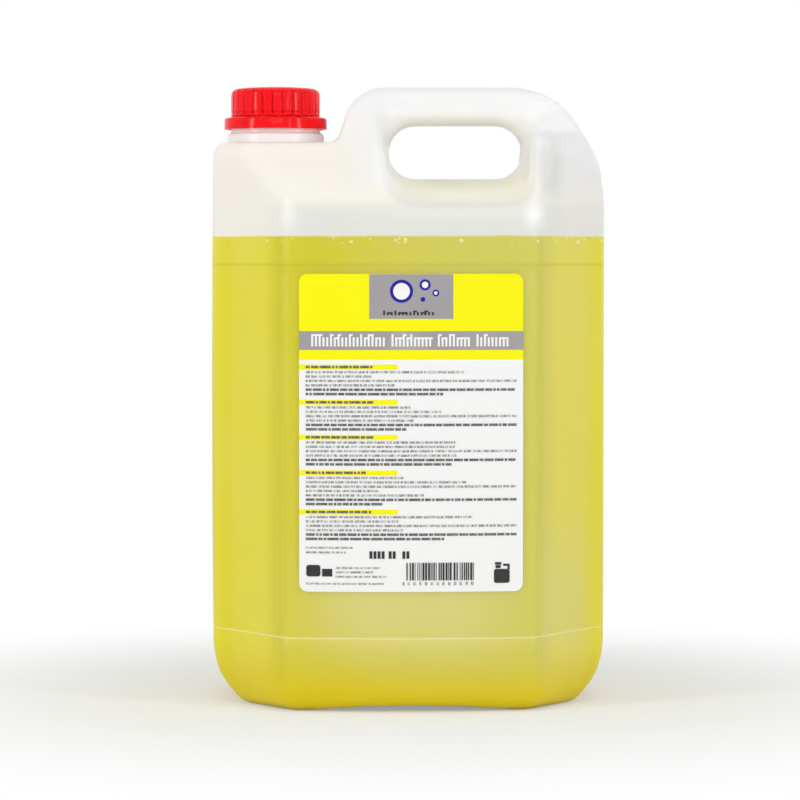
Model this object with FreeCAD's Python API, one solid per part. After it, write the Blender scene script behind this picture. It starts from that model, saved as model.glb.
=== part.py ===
import FreeCAD, Part
import math
import os
from FreeCAD import Vector

# A five litre dish soap jug: a blow-moulded bottle with a through handle, filled and labelled,
# with a ribbed screw cap over a tamper band.
# Millimetres. +X runs towards the handle's back leg, -Y is the labelled front, +Z is up,
# and the origin is on the floor under the middle of the jug.

# Bottle, overall
WIDTH = 190.0
DEPTH = 142.0
SHOULDER_Z = 268.7
WALL = 1.2

# Bottle, seen from above
CORNER_X = 36.0        # run of each cut corner along the front
CORNER_Y = 46.0        # and along the side
CORNER_R = 12.0        # round at both ends of a cut corner
FRONT_CROWN = 3.6      # how far the front and back swell
SIDE_CROWN = 1.2       # how far the two sides swell
FRONT_CROWN_END = 17.0 # what a swollen run keeps straight at each end
SIDE_CROWN_END = 7.5

# Bottle, seen from the front
SIDE_BARREL = 1.4      # how far the sides draw in at top and bottom
BARREL_END = 38.0
BASE_CORNER_R = 20.0
SHOULDER_R = 6.5
ARCH_SPAN = 102.0      # the base stands on two feet, with an arch between them
ARCH_RISE = 3.0
ARCH_END = 15.0
FOOT_R = 60.0
BASE_R = 10.5          # round under the walls

# Label panel: a shallow band let into the front, the back and the corners
BAND_LOW_Z = 33.4
BAND_DROP = 58.7       # shoulder down to the panel's upper edge
BAND_SINK = 1.0

# Handle, seen from the front
NECK_SIDE = 31.0       # left side to the neck's axis
VALLEY = 29.6          # neck's axis to the foot of the handle
VALLEY_R = 4.5
FRONT_LEG = 25.4       # foot of the handle to the finger hole
BACK_LEG = 39.7        # finger hole to the right side
LEG_LEAN = 72.0        # degrees
HANDLE_FRONT_R = 20.0
BACK_SMALL_R = 24.0    # the back bend is two arcs that share a tangent
BACK_LARGE_R = 68.0
BACK_TURN = 35.0       # degrees of the small arc
HOLE_DROP = 17.3       # shoulder down to the lowest point of the finger hole
HOLE_HEIGHT = 25.7
GRIP_HEIGHT = 18.7
GRIP_DEPTH = 30.0

# Shoulder, seen from the side
SLOPE_DROP = 29.2      # shoulder down to where the front turns into the slope
SLOPE_ANGLE = 42.0     # degrees
SLOPE_EDGE_R = 10.0    # round between the walls and the slope
RIDGE_R = 20.0         # round over the handle, where the two slopes meet
COLUMN_RISE = 2.3      # the back leg is as deep as the bottle to this far over the shoulder
COLUMN_ANGLE = 11.0
COLUMN_EDGE_R = 9.0
COLUMN_RIDGE_R = 40.0
COLUMN_LAP = 0.5       # how far the pocket reaches into the face of the back leg
COLUMN_FACE_SINK = 7.2 # how far behind the front that face ends, on the cut corner
COLUMN_FLARE = 6.0     # from there it opens out
COLUMN_FACE_R = 8.0

# Finger pocket: the hole opens out to the front and back
LIP_DEPTH = 3.0        # half the straight part of the hole
LIP_FLARE = 3.0        # how far the hole opens by the depth of the grip
LIP_LAND = 0.8         # step from there to the pocket
POCKET_LEFT = 5.0      # how far the pocket opens past the hole, clear of the front
POCKET_RIGHT = 9.0
POCKET_LOW = 16.5
POCKET_R = 16.0
HOLE_END_FLAT = 0.257  # half the flat left at each end of the hole
GRIP_SKIN = 4.0        # how far under the handle's top the pocket's upper end stops

# Neck
NECK_R = 18.0
NECK_WALL = 2.0
SEAT_STEP = 2.7        # how far the neck under the bead stands out from the neck over it
BEAD_REACH = 1.7       # how far the snap bead stands out from the neck under it
STEP_REACH = 0.95      # and the step that the ring sits over
BASE_REACH = 1.65      # and the base from that step
NECK_BASE_HEIGHT = 4.8
NECK_STEP_HEIGHT = 2.6
BEAD_RISE = 1.8        # step to the underside of the bead
BEAD_EDGE = 0.8
BEAD_HEIGHT = 2.4
NECK_ROOT = 4.0        # how far the neck runs down into the bottle's wall
BORE_FLARE = 3.0       # height over which the bore widens under the bead
EDGE_BREAK = 0.7       # flat taken off the outer edges of the turned pieces
JOIN = 0.3             # how far a piece is rooted in what carries it
RIM_RISE = 11.4        # top of the bead to the rim
THREAD_ROOM = 1.55     # between the neck and the skirt of the cap, for the screw thread

# Screw cap
CAP_WALL = 1.95
CAP_TOP_WALL = 1.8
CAP_DOME = 1.0
CAP_EDGE = 2.0         # cut off the edge of the top
CAP_RISE = 1.0         # top of the bead to the skirt's lower edge
CAP_BAND = 3.0         # plain band under the ribs
CAP_GROOVE = 0.7       # depth of the grooves between the ribs
CAP_GROOVE_W = 1.1
CAP_RIBS = 27

# Liner, the seal disc in the cap
LINER_T = 1.4
LINER_GAP = 0.1
LINER_SIDE_GAP = 0.65  # to the inside of the skirt

# Tamper ring
RING_CLEAR = 0.95      # between the bead and the ring's wall
RING_WALL = 1.5
RING_HEIGHT = 5.6
RING_FLANGE = 1.1
RING_LIP = 1.2
RING_GAP = 0.3         # between the ring's lip and the neck
RING_LAP = 0.7         # how far the ring hangs down over the step
BRIDGES = 8
BRIDGE_W = 1.0
BRIDGE_GAP = 0.1

# Contents and label
SOAP_DROP = 45.7       # shoulder down to the surface of the soap
SOAP_GAP = 0.25
LABEL_W = 105.0
LABEL_H = 149.0
LABEL_RISE = 23.6      # panel's lower edge to the label
LABEL_R = 4.0
LABEL_T = 0.2
LABEL_GAP = 0.05

# Places that follow from the sizes above
NECK_X = NECK_SIDE - WIDTH / 2
FOOT_X = NECK_X + VALLEY
HOLE_LEFT_X = FOOT_X + FRONT_LEG
HOLE_RIGHT_X = WIDTH / 2 - BACK_LEG
GRIP_Y = GRIP_DEPTH / 2
HOLE_LOW_Z = SHOULDER_Z - HOLE_DROP
HANDLE_TOP_Z = HOLE_LOW_Z + HOLE_HEIGHT + GRIP_HEIGHT
SLOPE_LOW_Z = SHOULDER_Z - SLOPE_DROP
COLUMN_LOW_Z = SHOULDER_Z + COLUMN_RISE
BAND_HIGH_Z = SHOULDER_Z - BAND_DROP
SOAP_LEVEL_Z = SHOULDER_Z - SOAP_DROP
LABEL_LOW_Z = BAND_LOW_Z + LABEL_RISE

# Neck, ring and cap, from the axis out
BEAD_SEAT_R = NECK_R + SEAT_STEP
BEAD_R = BEAD_SEAT_R + BEAD_REACH
NECK_STEP_R = BEAD_SEAT_R + STEP_REACH
NECK_BASE_R = NECK_STEP_R + BASE_REACH
BORE_R = NECK_R - NECK_WALL
RING_INNER_R = BEAD_R + RING_CLEAR
RING_R = RING_INNER_R + RING_WALL
CAP_INNER_R = NECK_R + THREAD_ROOM
CAP_R = CAP_INNER_R + CAP_WALL
LINER_R = CAP_INNER_R - LINER_SIDE_GAP

# and from the shoulder up
STEP_TOP = NECK_BASE_HEIGHT + NECK_STEP_HEIGHT
BEAD_LOW = STEP_TOP + BEAD_RISE
BEAD_TOP = BEAD_LOW + BEAD_HEIGHT
RIM_HEIGHT = BEAD_TOP + RIM_RISE
CAP_BOTTOM = BEAD_TOP + CAP_RISE
CAP_CEILING = RIM_HEIGHT + LINER_T + 2 * LINER_GAP

CLOSE = 0.01                # nearer than this is touching
CLEAR = 10.0                # how far a cutter stands out past what it cuts
FRONT_Y = DEPTH / 2 + CLEAR
OVER_Z = HANDLE_TOP_Z + CLEAR


def flat(u, v):
    return Vector(u, v, 0)


def upright(u, v):
    return Vector(u, 0, v)


def sideways(u, v):
    return Vector(0, u, v)


def outline(corners, plane=flat, inset=0.0):
    """A closed wire through (u, v, radius) corners, anticlockwise, drawn in by inset."""
    count = len(corners)
    bends = []
    for i, (u, v, radius) in enumerate(corners):
        u0, v0, _ = corners[i - 1]
        u1, v1, _ = corners[(i + 1) % count]
        before = Vector(u - u0, v - v0, 0).normalize()
        after = Vector(u1 - u, v1 - v, 0).normalize()
        inward = Vector(-before.y - after.y, before.x + after.x, 0)
        corner = Vector(u, v, 0) + inward * (inset / (1 + before.dot(after)))
        turn = math.atan2(before.x * after.y - before.y * after.x, before.dot(after))
        side = math.copysign(1, turn)
        bend = max(radius - side * inset, 0.0) if radius else 0.0
        reach = bend * math.tan(abs(turn) / 2)
        inward.normalize()
        middle = corner + inward * side * bend * (1 / math.cos(turn / 2) - 1)
        bends.append((corner - before * reach, middle, corner + after * reach, bend))
    edges = []
    for i, (start, middle, end, bend) in enumerate(bends):
        if bend > 0:
            edges.append(Part.Arc(*[plane(p.x, p.y) for p in (start, middle, end)]).toShape())
        following = bends[(i + 1) % count][0]
        if (following - end).Length > 1e-4:
            edges.append(Part.LineSegment(plane(end.x, end.y), plane(following.x, following.y)).toShape())
    return Part.Wire(edges)


def crown(start, end, rise, straight):
    """The corner that swells a run outwards by rise: one wide arc, and a straight at each end."""
    run = math.hypot(end[0] - start[0], end[1] - start[1])
    reach = run / 2 - straight
    height = rise / (1 - reach / run)
    across = ((end[1] - start[1]) / run, -(end[0] - start[0]) / run)
    return (
        (start[0] + end[0]) / 2 + across[0] * height,
        (start[1] + end[1]) / 2 + across[1] * height,
        reach * run / 2 / abs(height),
    )


def plan_corners(sink):
    """The bottle from above: four flats that swell a little and four broad cut corners."""
    side = WIDTH / 2 - SIDE_CROWN
    front = DEPTH / 2 - FRONT_CROWN - sink
    flat_x = WIDTH / 2 - CORNER_X
    flat_y = DEPTH / 2 - CORNER_Y
    points = [(-flat_x, -front), (flat_x, -front), (side, -flat_y), (side, flat_y)]
    points += [(flat_x, front), (-flat_x, front), (-side, flat_y), (-side, -flat_y)]
    corners = []
    for i, (x, y) in enumerate(points):
        corners.append((x, y, CORNER_R))
        if i % 4 == 0:
            corners.append(crown((x, y), points[i + 1], FRONT_CROWN, FRONT_CROWN_END))
        if i % 4 == 2:
            corners.append(crown((x, y), points[i + 1], SIDE_CROWN, SIDE_CROWN_END))
    return corners


def front_corners():
    """The bottle from the front: arched base, barrelled sides, shoulder, valley and handle."""
    side = WIDTH / 2 - SIDE_BARREL
    lean = (HANDLE_TOP_Z - SHOULDER_Z) / math.tan(math.radians(LEG_LEAN))
    turn = math.radians(BACK_TURN)
    reach = BACK_SMALL_R * math.tan(turn / 2)
    reach += BACK_LARGE_R * math.tan((math.pi / 2 - turn) / 2)
    back = (side, HANDLE_TOP_Z - reach * math.sin(turn))
    feet = (-ARCH_SPAN / 2, 0), (ARCH_SPAN / 2, 0)
    return [
        (-side, 0, BASE_CORNER_R),
        (*feet[0], FOOT_R),
        crown(*feet, -ARCH_RISE, ARCH_END),
        (*feet[1], FOOT_R),
        (side, 0, BASE_CORNER_R),
        crown((side, 0), back, SIDE_BARREL, BARREL_END),
        (*back, BACK_LARGE_R),
        (side - reach * math.cos(turn), HANDLE_TOP_Z, BACK_SMALL_R),
        (FOOT_X + lean, HANDLE_TOP_Z, HANDLE_FRONT_R),
        (FOOT_X, SHOULDER_Z, VALLEY_R),
        (-side, SHOULDER_Z, SHOULDER_R),
        crown((-side, SHOULDER_Z), (-side, 0), SIDE_BARREL, BARREL_END),
    ]


def prism(wire, along):
    return Part.Face(wire).extrude(along)


def column(sink, low, high, inset):
    """The bottle's plan from one height to another."""
    body = prism(outline(plan_corners(sink), flat, inset), Vector(0, 0, high - low))
    return body.translated(Vector(0, 0, low))


def across(wire):
    """A wire in the XZ plane, run from the front of the bottle to its back."""
    wire.translate(Vector(0, -FRONT_Y, 0))
    return prism(wire, Vector(0, 2 * FRONT_Y, 0))


def roof(low_z, angle, ridge_r, inset):
    """All that is under two slopes, which climb from the front and the back to a round ridge."""
    climb = math.tan(math.radians(angle))
    eaves = low_z - climb * (FRONT_Y - DEPTH / 2)
    ridge = low_z + climb * DEPTH / 2
    corners = [(-FRONT_Y, 0, 0), (FRONT_Y, 0, 0)]
    corners += [(FRONT_Y, eaves, 0), (0, ridge, ridge_r), (-FRONT_Y, eaves, 0)]
    wire = outline(corners, sideways, inset)
    wire.translate(Vector(-WIDTH, 0, 0))
    return prism(wire, Vector(2 * WIDTH, 0, 0))


def under_roof(low_z, angle, ridge_r, edge_r, inset):
    """The bottle's plan under such a roof, with a round edge between the walls and the slopes."""
    body = column(0, inset, OVER_Z + DEPTH, inset).common(roof(low_z, angle, ridge_r, inset))
    rim = [e for e in body.Edges if e.BoundBox.YLength > JOIN and e.BoundBox.ZMin > BAND_HIGH_Z]
    return body.makeFillet(edge_r - inset, rim)


def lid(inset):
    """The bottle's plan up to the flat shoulder, with a round edge."""
    body = column(0, inset, SHOULDER_Z - inset, inset)
    rim = [e for e in body.Edges if e.BoundBox.ZMin > BAND_HIGH_Z]
    return body.makeFillet(SHOULDER_R - inset, rim)


def beside_column(inset):
    """All of the shoulder and handle that lies to the left of the back leg's inner face."""
    face_y = DEPTH / 2 - COLUMN_FACE_SINK
    flare = LIP_FLARE + LIP_LAND
    opening = (POCKET_RIGHT - flare) * (face_y - GRIP_Y) / (FRONT_Y - GRIP_Y)
    grip_x = HOLE_RIGHT_X + flare - COLUMN_LAP
    face_x = grip_x + opening
    front = [
        (-WIDTH, -FRONT_Y, 0),
        (face_x + COLUMN_FLARE, -FRONT_Y, 0),
        (face_x + COLUMN_FLARE, COLUMN_FLARE - face_y, 0),
        (face_x, -face_y, COLUMN_FACE_R),
        (grip_x, -GRIP_Y, 0),
    ]
    back = [(x, -y, radius) for x, y, radius in reversed(front)]
    room = prism(outline(front + back, flat, -inset), Vector(0, 0, OVER_Z))
    return room.translated(Vector(0, 0, BAND_HIGH_Z))


def upper(low_x, high_x):
    """All that is over the label panel, between two places along the bottle."""
    return Part.makeBox(high_x - low_x, 2 * FRONT_Y, OVER_Z, Vector(low_x, -FRONT_Y, BAND_HIGH_Z))


def shoulder_cuts(inset):
    """What is taken off for the slopes, the left shoulder, and the back leg with its bar."""
    slopes = under_roof(SLOPE_LOW_Z, SLOPE_ANGLE, RIDGE_R, SLOPE_EDGE_R, inset)
    leg = under_roof(COLUMN_LOW_Z, COLUMN_ANGLE, COLUMN_RIDGE_R, COLUMN_EDGE_R, inset)
    beside = beside_column(inset)
    half = GRIP_Y - inset
    bar = Part.makeBox(2 * WIDTH, 2 * half, OVER_Z, Vector(-WIDTH, -half, 0)).common(slopes)
    return [
        beside.cut(slopes),
        upper(-WIDTH, FOOT_X - CLEAR).cut(lid(inset)),
        upper(-WIDTH, WIDTH).cut([beside, leg, bar]),
    ]


def round_hole(left, right, low, high):
    """Sides and heights of a rectangle that is larger than the finger hole by these amounts."""
    return (
        HOLE_LEFT_X - left,
        HOLE_RIGHT_X + right,
        HOLE_LOW_Z - low,
        HOLE_LOW_Z + HOLE_HEIGHT + high,
    )


def funnel(far_y, far, near_y, near, radii):
    """A drafted opening between two rectangles, its long corners rounded by these radii."""
    x0, x1, z0, z1 = far
    nx0, nx1, nz0, nz1 = near
    body = Part.makeWedge(x0, far_y, z0, nz0, nx0, x1, near_y, z1, nz1, nx1)
    corners = [(x0, z0), (x1, z0), (x1, z1), (x0, z1)]
    for (x, z), radius in zip(corners, radii):
        if not radius:
            continue
        corner = Part.Vertex(x, far_y, z)
        long_edges = [e for e in body.Edges if e.BoundBox.YLength > CLOSE]
        edge = min(long_edges, key=lambda e: e.distToShape(corner)[0])
        body = body.makeFillet(radius, [edge])
    return body


def pocket(inset):
    """What the front half of the mould presses in round the finger hole."""
    round_r = HOLE_HEIGHT / 2 - HOLE_END_FLAT + inset
    rounds = [round_r] * 4
    flare = LIP_FLARE + inset
    wide = flare + LIP_LAND
    high = GRIP_HEIGHT - GRIP_SKIN + inset
    grip_y = inset - GRIP_Y
    hole = round_hole(inset, inset, inset, inset)
    lip = round_hole(flare, flare, flare, flare)
    tall = round_hole(wide, wide, wide, high)
    mouth = round_hole(POCKET_LEFT + inset, POCKET_RIGHT + inset, POCKET_LOW + inset, high + GRIP_HEIGHT)
    return [
        funnel(-LIP_DEPTH, hole, 0, hole, rounds),
        funnel(grip_y, lip, -LIP_DEPTH, hole, rounds),
        funnel(-FRONT_Y, mouth, grip_y, tall, [POCKET_R + inset, round_r, 0, round_r]),
    ]


def both_sides(shapes):
    """Shapes in front of the parting plane, and their mirror images behind it."""
    return shapes + [shape.mirror(Vector(0, 0, 0), Vector(0, 1, 0)) for shape in shapes]


def bottle_form(inset):
    """The bottle's closed form without its neck, drawn in by inset."""
    body = column(0, inset, OVER_Z, inset)
    floor_edges = [edge for edge in body.Edges if edge.BoundBox.ZMax < inset + CLOSE]
    body = body.makeFillet(BASE_R - inset, floor_edges)
    slab = column(-FRONT_CROWN, BAND_LOW_Z - inset, BAND_HIGH_Z + inset, 0)
    body = body.cut(slab.cut(column(BAND_SINK, 0, OVER_Z, inset)))
    body = body.common(across(outline(front_corners(), upright, inset)))
    for waste in shoulder_cuts(inset):
        body = body.cut(waste)
    body = body.cut(both_sides(pocket(inset)))
    return body.removeSplitter()


def broken(corners, plane):
    """A closed wire through (u, v, cut) corners, each edge broken where its cut isn't 0."""
    points = []
    for i, (u, v, cut) in enumerate(corners):
        corner = Vector(u, v, 0)
        for u1, v1, _ in (corners[i - 1], corners[(i + 1) % len(corners)]):
            towards = (Vector(u1, v1, 0) - corner).normalize()
            points.append(corner + towards * cut)
            if not cut:
                break
    return Part.makePolygon([plane(p.x, p.y) for p in points + points[:1]])


def turned(corners):
    """A solid of revolution on the neck's axis, from (radius, height over the shoulder, edge) corners."""
    solid = Part.Face(broken(corners, upright)).revolve(Vector(0, 0, 0), Vector(0, 0, 1), 360)
    return solid.translated(Vector(NECK_X, 0, SHOULDER_Z))


def neck():
    """The neck: base, step, snap bead for the tamper ring, and the barrel up to the rim."""
    return turned([
        (0, -NECK_ROOT, 0),
        (NECK_BASE_R, -NECK_ROOT, 0),
        (NECK_BASE_R, NECK_BASE_HEIGHT, EDGE_BREAK),
        (NECK_STEP_R, NECK_BASE_HEIGHT, 0),
        (NECK_STEP_R, STEP_TOP, 0),
        (BEAD_SEAT_R, STEP_TOP, 0),
        (BEAD_SEAT_R, BEAD_LOW, 0),
        (BEAD_R, BEAD_LOW, 0),
        (BEAD_R, BEAD_LOW + BEAD_EDGE, 0),
        (NECK_R, BEAD_TOP, 0),
        (NECK_R, RIM_HEIGHT, EDGE_BREAK),
        (0, RIM_HEIGHT, 0),
    ])


def bore():
    """The pouring hole, from the rim down into the bottle, wider under the bead."""
    flare_r = BEAD_SEAT_R - 2 * WALL
    foot = -NECK_ROOT - CLEAR
    mouth = RIM_HEIGHT + CLEAR
    return turned([
        (0, foot, 0),
        (flare_r, foot, 0),
        (flare_r, STEP_TOP - BORE_FLARE, 0),
        (BORE_R, STEP_TOP, 0),
        (BORE_R, mouth, 0),
        (0, mouth, 0),
    ])


def jug_body():
    walls = bottle_form(0).fuse(neck())
    return walls.cut([bottle_form(WALL), bore()]).removeSplitter()


def dish_soap():
    """The filling, level with its surface and clear of the wall by SOAP_GAP."""
    room = bottle_form(WALL + SOAP_GAP)
    filled = Part.makeBox(2 * WIDTH, 2 * DEPTH, SOAP_LEVEL_Z, Vector(-WIDTH, -DEPTH, 0))
    return room.common(filled)


def front_label():
    """A sticker that follows the swell of the label panel."""
    half = LABEL_W / 2
    high = LABEL_LOW_Z + LABEL_H
    back = column(BAND_SINK, BAND_LOW_Z, BAND_HIGH_Z, -LABEL_GAP)
    face = column(BAND_SINK, BAND_LOW_Z, BAND_HIGH_Z, -LABEL_GAP - LABEL_T)
    corners = [(-half, LABEL_LOW_Z), (half, LABEL_LOW_Z), (half, high), (-half, high)]
    wire = outline([(x, z, LABEL_R) for x, z in corners], upright)
    wire.translate(Vector(0, -FRONT_Y, 0))
    return face.cut(back).common(prism(wire, Vector(0, FRONT_Y, 0)))


def screw_cap():
    """The cap: a domed top, and a skirt with grooves between its ribs."""
    top = CAP_CEILING + CAP_TOP_WALL
    shell = turned([
        (CAP_INNER_R, CAP_BOTTOM, 0),
        (CAP_R, CAP_BOTTOM, 0),
        (CAP_R, top, CAP_EDGE),
        (0, top + CAP_DOME, 0),
        (0, CAP_CEILING, 0),
        (CAP_INNER_R, CAP_CEILING, 0),
    ])
    groove = Part.makeBox(CAP_GROOVE + JOIN, CAP_GROOVE_W, top)
    groove.translate(Vector(CAP_R - CAP_GROOVE, -CAP_GROOVE_W / 2, CAP_BOTTOM + CAP_BAND))
    grooves = []
    for i in range(CAP_RIBS):
        turn = groove.copy()
        turn.rotate(Vector(0, 0, 0), Vector(0, 0, 1), (i + 0.5) * 360 / CAP_RIBS)
        grooves.append(turn.translated(Vector(NECK_X, 0, SHOULDER_Z)))
    return shell.cut(grooves)


def cap_liner():
    """The seal disc between the rim and the cap."""
    low = RIM_HEIGHT + LINER_GAP
    return turned([
        (0, low, 0),
        (LINER_R, low, 0),
        (LINER_R, low + LINER_T, 0),
        (0, low + LINER_T, 0),
    ])


def tamper_ring():
    """The band left on the neck: a flange, a wall and a lip that can't pass the bead."""
    low = STEP_TOP - RING_LAP
    high = low + RING_HEIGHT
    inner = RING_INNER_R
    lip_low = STEP_TOP + RING_GAP
    band = turned([
        (inner, low, 0),
        (RING_R, low, 0),
        (RING_R, high, EDGE_BREAK),
        (CAP_INNER_R, high, 0),
        (CAP_INNER_R, high - RING_FLANGE, 0),
        (inner, high - RING_FLANGE, 0),
    ])
    lip = turned([
        (BEAD_SEAT_R + RING_GAP, lip_low, 0),
        (inner + JOIN, lip_low, 0),
        (inner + JOIN, lip_low + RING_LIP, 0),
        (BEAD_SEAT_R + RING_GAP, lip_low + RING_LIP, 0),
    ])
    bridges = []
    span = CAP_R - CAP_INNER_R
    for i in range(BRIDGES):
        bridge = Part.makeBox(span / 2, BRIDGE_W, CAP_BOTTOM - BRIDGE_GAP - high + JOIN)
        bridge.translate(Vector(CAP_INNER_R + span / 4, -BRIDGE_W / 2, high - JOIN))
        bridge.rotate(Vector(0, 0, 0), Vector(0, 0, 1), i * 360 / BRIDGES)
        bridges.append(bridge.translated(Vector(NECK_X, 0, SHOULDER_Z)))
    return band.fuse([lip] + bridges)


def save(name, shape):
    print(name, "valid" if shape.isValid() else "NOT VALID", len(shape.Solids), round(shape.Volume))
    shape.exportStep("parts/" + name + ".step")


os.makedirs("parts", exist_ok=True)
save("jug_body", jug_body())
save("dish_soap", dish_soap())
save("front_label", front_label())
save("screw_cap", screw_cap())
save("cap_liner", cap_liner())
save("tamper_ring", tamper_ring())
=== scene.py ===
import random
from math import cos, hypot, pi, radians, sin

import bmesh
import bpy
from mathutils import Matrix, Vector


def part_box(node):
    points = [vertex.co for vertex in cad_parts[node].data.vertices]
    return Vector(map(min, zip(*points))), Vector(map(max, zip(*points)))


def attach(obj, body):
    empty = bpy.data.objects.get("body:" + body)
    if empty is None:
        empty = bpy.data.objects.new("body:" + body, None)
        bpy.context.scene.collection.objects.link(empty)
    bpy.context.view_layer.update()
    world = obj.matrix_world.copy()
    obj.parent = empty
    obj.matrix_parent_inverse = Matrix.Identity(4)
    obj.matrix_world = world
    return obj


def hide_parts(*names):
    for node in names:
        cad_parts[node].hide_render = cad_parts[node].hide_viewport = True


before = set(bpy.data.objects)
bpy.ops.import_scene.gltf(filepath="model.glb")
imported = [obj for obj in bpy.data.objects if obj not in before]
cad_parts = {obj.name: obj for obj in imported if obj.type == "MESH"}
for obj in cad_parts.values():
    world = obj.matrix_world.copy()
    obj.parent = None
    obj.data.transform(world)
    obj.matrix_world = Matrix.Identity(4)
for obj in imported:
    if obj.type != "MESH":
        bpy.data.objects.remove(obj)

bl_info = {
    "name": "Dish Soap Jug",
    "version": (1, 0, 0),
    "blender": (4, 5, 0),
    "location": "3D View > Sidebar > Soap Jug",
    "description": "Builds the looks of a five litre dish soap jug round its packed model",
    "category": "Add Mesh",
}

MM = 0.001
SOAP_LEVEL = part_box("dish_soap")[1].z
LABEL_LOW, LABEL_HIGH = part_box("front_label")
CAP_LOW, CAP_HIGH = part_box("screw_cap")
RING_LOW, RING_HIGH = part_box("tamper_ring")
LINER_LOW, LINER_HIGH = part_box("cap_liner")
AXIS_X = (CAP_LOW.x + CAP_HIGH.x) / 2
CAP_R = (CAP_HIGH.x - CAP_LOW.x) / 2
RING_R = (RING_HIGH.x - RING_LOW.x) / 2
LINER_R = (LINER_HIGH.x - LINER_LOW.x) / 2
RIM_Z = LINER_LOW.z - 0.1 * MM
SHOULDER_Z = RING_LOW.z - 6.7 * MM
MOULD_MARK_X = -30.7 * MM       # round mark of the mould, high on the front
MOULD_MARK_Z = 224.2 * MM
MOULD_MARK_R = 6.3 * MM
LABEL_FLAT_X = 42 * MM          # the label's swell is an arc to here, and straight from there out
FRONT_EDGE_X = 60.5 * MM        # where the front meets a cut corner
CORNER_X = 76 * MM              # middle of a cut corner
CREASE_Z = 210.2 * MM           # upper line round the wall
FOOT_LINE_Z = 35.0 * MM         # lower line round the wall, on the front
FOOT_LINE_RISE = 0.8 * MM       # how much higher it runs on the corners
CLOUD_Z = 52 * MM               # where the soap looks palest
LEG_X = 58 * MM                 # foot of the back leg's ridge, which catches the light
FOLD_X = -57.2 * MM             # foot of the slope's fold on the neck's side, which does too
INK_THICKNESS = 0.03 * MM
FILM_THICKNESS = 0.2 * MM
BACK_PUSH = 1.2 * MM            # how far the back curve is filled out, doubled at its top
LEG_DROP = 7.5 * MM             # how much lower the back leg's faces end
RIDGE_SHIFT = 5.4 * MM          # how much nearer the finger hole its ridge lies
RIM_SHIFT = 1.8 * MM            # how much nearer the middle the front leg's rim lies
BASE_DRAW = 3.7 * MM            # how far the ends draw in at the base
SHOULDER_FALL = 1.8 * MM        # how far the shoulder falls away to the front and the back

# Tints of the painted light and shade on the wall and its lines, of its bubbles and mark, and of
# the painted shade in the cap's grooves
SHADED_SOAP = (0.675, 0.616, 0.012)
EDGE_SHADE_SOAP = (0.55, 0.52, 0.03)
CREASE_SHADOW_SOAP = (0.48, 0.45, 0.03)
FOOT_LINE_LIGHT_SOAP = (0.93, 0.90, 0.55)
BUBBLE_SOAP = (0.90, 0.88, 0.50)
MARK_SOAP = (0.92, 0.90, 0.66)
COLUMN_SHADE = (0.80, 0.805, 0.81)
LEG_SHADE = (0.70, 0.705, 0.69)
LIP_SHADE = (0.80, 0.75, 0.62)
ROOF_LIGHT = (0.98, 0.965, 0.97)
RIDGE_LIGHT = (0.97, 0.965, 0.96)
GLINT_LIGHT = (0.98, 0.98, 1.0)
GROOVE_SHADE_RED = (0.48, 0.0, 0.008)


def length(name, default, description):
    """A size in metres that the sidebar shows."""
    return bpy.props.FloatProperty(
        name=name, default=default, description=description, min=0, precision=5, unit="LENGTH"
    )


def count(name, default, description):
    """A number of things that the sidebar shows."""
    return bpy.props.IntProperty(name=name, default=default, description=description, min=1)


def colour(name, default, description):
    """A colour that the sidebar shows."""
    return bpy.props.FloatVectorProperty(
        name=name, default=default, description=description, size=3, min=0, max=1, subtype="COLOR"
    )


class JugSizes(bpy.types.PropertyGroup):
    skin_grain: length("Skin grain", 1.6 * MM, "Size of the small faces of the blown skin")
    wall: length("Wall", 1.2 * MM, "Thickness of the blown wall")
    soft_rounds: count("Soft rounds", 48, "How often the skin is smoothed round the handle")
    bore_r: length("Bore radius", 16 * MM, "Pouring hole through the neck")
    neck_r: length("Neck radius", 18 * MM, "Neck at the root of its thread")
    thread_pitch: length("Thread pitch", 4 * MM, "Rise of the screw thread in one turn")
    thread_depth: length("Thread depth", 1.2 * MM, "How far the thread stands out")
    cap_ribs: count("Cap ribs", 27, "Grip ribs round the cap")
    rib_groove: length("Rib groove", 0.9 * MM, "Depth of the grooves between the ribs")
    label_corner: length("Label corner", 4 * MM, "Round of the label's corners")
    ink_lift: length("Ink lift", 0.06 * MM, "How far print stands off the film under it")


class JugColours(bpy.types.PropertyGroup):
    cream: colour("Cream plastic", (0.90, 0.865, 0.785), "Empty part of the bottle wall")
    cold: colour("Cold plastic", (0.875, 0.87, 0.875), "The handle, where the wall is thickest")
    # Painted shade on the upright wall just above the soap, also the grey of the wall's random
    # mottle
    shade_and_mottle: colour("Shade and mottle", (0.765, 0.775, 0.725), "Just above the soap")
    glow: colour("Glow of the soap", (0.95, 0.91, 0.66), "Under the finger hole, over the soap")
    # Painted light: the neck is lightened as if lit through from behind
    clean: colour("Neck plastic", (0.96, 0.93, 0.89), "The thick neck, clear of the soap")
    soap: colour("Soap", (0.665, 0.625, 0.105), "Bottle wall with soap behind it")
    soap_bright: colour("Soap at the sides", (0.83, 0.73, 0.012), "Where light comes through it")
    soap_corner: colour("Soap at the corners", (0.80, 0.725, 0.055), "On the cut corners")
    # Paler soap low on the front and at random, and painted light on the right corner
    pale_and_lit_soap: colour("Pale and lit soap", (0.735, 0.675, 0.235), "Low on the front")
    soap_deep: colour("Soap at the base", (0.73, 0.585, 0.001), "Round the foot")
    red: colour("Cap red", (0.97, 0.002, 0.006), "Screw cap and its ring")
    film: colour("Label film", (0.93, 0.93, 0.925), "White film of the label")
    yellow: colour("Label yellow", (0.97, 0.925, 0.001), "Upper field and headings")
    silver: colour("Label silver", (0.36, 0.34, 0.355), "Badge and title band")
    blue: colour("Label blue", (0.016, 0.010, 0.36), "Mark in the badge")
    ink: colour("Label ink", (0.012, 0.012, 0.014), "Small print")


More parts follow.
